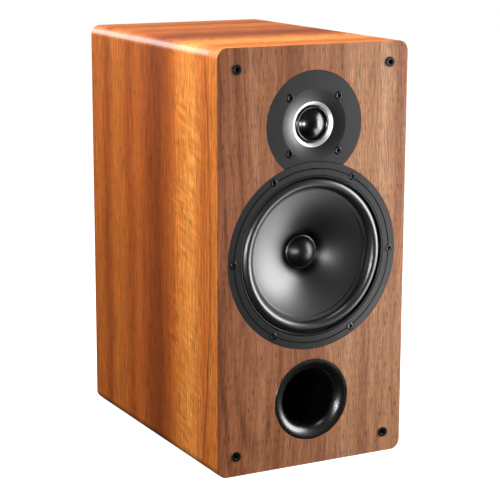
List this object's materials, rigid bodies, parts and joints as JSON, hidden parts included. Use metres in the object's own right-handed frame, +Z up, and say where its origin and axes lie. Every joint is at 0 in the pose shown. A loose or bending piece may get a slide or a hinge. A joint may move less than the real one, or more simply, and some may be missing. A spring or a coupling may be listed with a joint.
{
  "type": "bookshelf speaker",
  "caption": "Two-way bookshelf loudspeaker: wood-wrapped cabinet with a flared front port, sprung woofer cone and tweeter dome, and turning binding-post knobs.",
  "frame": {"origin": "centre of the flat bottom face, under the middle of the cabinet's depth", "axes": "+Z up along the height, front baffle facing -Y, +X to the right seen from the front"},
  "size_m": [0.185, 0.2676, 0.37],
  "materials": {
    "wood_wrap": "gloss",
    "walnut_veneer": "satin",
    "black_board": "matte vinyl",
    "raw_board": "raw fibreboard",
    "foam": "open foam",
    "black_plastic": "satin",
    "frame_paint": "fine matte paint",
    "black_rubber": "soft sheen",
    "cone_plastic": "semi-gloss",
    "cap_gloss": "gloss",
    "dome_gloss": "gloss",
    "bare_aluminium": "bare",
    "copper_wire": "enamelled copper",
    "spider_cloth": "impregnated cloth",
    "plated_steel": "zinc plated",
    "ferrite": "sintered",
    "black_steel": "black oxide",
    "bright_ring": "polished",
    "port_gloss": "gloss",
    "gold_plate": "gold plated",
    "knob_black": "clear over black",
    "knob_red": "clear over red",
    "board_green": "lacquered board",
    "capacitor_skin": "film wrap",
    "ceramic": "ceramic",
    "lead_skin": "insulation"
  },
  "bodies": {
    "cabinet": {"back_damping_foam": "foam", "back_panel": "black_board", "bottom_panel": "wood_wrap", "bulk_capacitor": "capacitor_skin", "crossover_board": "board_green", "crossover_standoffs": "black_plastic", "driver_terminal_strips": "board_green", "front_baffle": "walnut_veneer", "grille_sockets": "black_plastic", "input_leads": "lead_skin", "port_flare": "port_gloss", "port_inner_flare": "port_gloss", "port_tube": "port_gloss", "post_collar_black": "knob_black", "post_collar_red": "knob_red", "post_nuts": "gold_plate", "post_shafts": "gold_plate", "side_damping_foams": "foam", "side_panel_left": "wood_wrap", "side_panel_right": "wood_wrap", "terminal_cup": "black_plastic", "terminal_cup_gasket": "foam", "terminal_cup_screws": "black_steel", "top_panel": "wood_wrap", "tweeter_capacitor": "capacitor_skin", "tweeter_carrier_ring": "black_plastic", "tweeter_faceplate": "frame_paint", "tweeter_gasket": "foam", "tweeter_inductor": "copper_wire", "tweeter_leads": "lead_skin", "tweeter_magnet": "ferrite", "tweeter_rear_cup": "black_plastic", "tweeter_resistor": "ceramic", "tweeter_screws": "black_steel", "tweeter_suspension": "black_rubber", "tweeter_top_plate": "plated_steel", "tweeter_trim_ring": "bright_ring", "tweeter_yoke": "plated_steel", "window_brace": "raw_board", "woofer_basket": "frame_paint", "woofer_clamp_ring": "black_plastic", "woofer_gasket": "foam", "woofer_inductor": "copper_wire", "woofer_leads": "lead_skin", "woofer_magnet": "ferrite", "woofer_screws": "black_steel", "woofer_spider": "spider_cloth", "woofer_surround": "black_rubber", "woofer_top_plate": "plated_steel", "woofer_yoke": "plated_steel"},
    "woofer_moving": {"woofer_cone": "cone_plastic", "woofer_dust_cap": "cap_gloss", "woofer_coil_former": "bare_aluminium", "woofer_coil_winding": "copper_wire"},
    "tweeter_moving": {"tweeter_dome": "dome_gloss", "tweeter_voice_coil": "copper_wire"},
    "black_clamp": {"clamp_washer_black": "gold_plate"},
    "black_knob": {"post_knob_black": "knob_black"},
    "red_clamp": {"clamp_washer_red": "gold_plate"},
    "red_knob": {"post_knob_red": "knob_red"}
  },
  "joints": [
    {"name": "woofer_cone_travel", "type": "slide", "parent": "cabinet", "child": "woofer_moving", "axis": [0, -1, 0], "range_m": [-0.005, 0.005], "stiffness_N_per_m": 1200, "deforming": ["woofer_surround", "woofer_spider"]},
    {"name": "tweeter_dome_travel", "type": "slide", "parent": "cabinet", "child": "tweeter_moving", "axis": [0, -1, 0], "range_m": [-0.0004, 0.0004], "stiffness_N_per_m": 2000, "deforming": ["tweeter_suspension"]},
    {"name": "black_clamp_travel", "type": "slide", "parent": "cabinet", "child": "black_clamp", "axis": [0, 1, 0], "range_m": [0, 0.004]},
    {"name": "black_knob_turn", "type": "hinge", "parent": "black_clamp", "child": "black_knob", "pos_m": [-0.00953, 0.1165, 0.08], "axis": [0, 1, 0], "range_deg": [0, 1440]},
    {"name": "red_clamp_travel", "type": "slide", "parent": "cabinet", "child": "red_clamp", "axis": [0, 1, 0], "range_m": [0, 0.004]},
    {"name": "red_knob_turn", "type": "hinge", "parent": "red_clamp", "child": "red_knob", "pos_m": [0.00953, 0.1165, 0.08], "axis": [0, 1, 0], "range_deg": [0, 1440]}
  ],
  "couplings": [
    {"joint": "black_knob_turn", "follows": "black_clamp_travel", "rad_per_m": 6283},
    {"joint": "red_knob_turn", "follows": "red_clamp_travel", "rad_per_m": 6283}
  ]
}
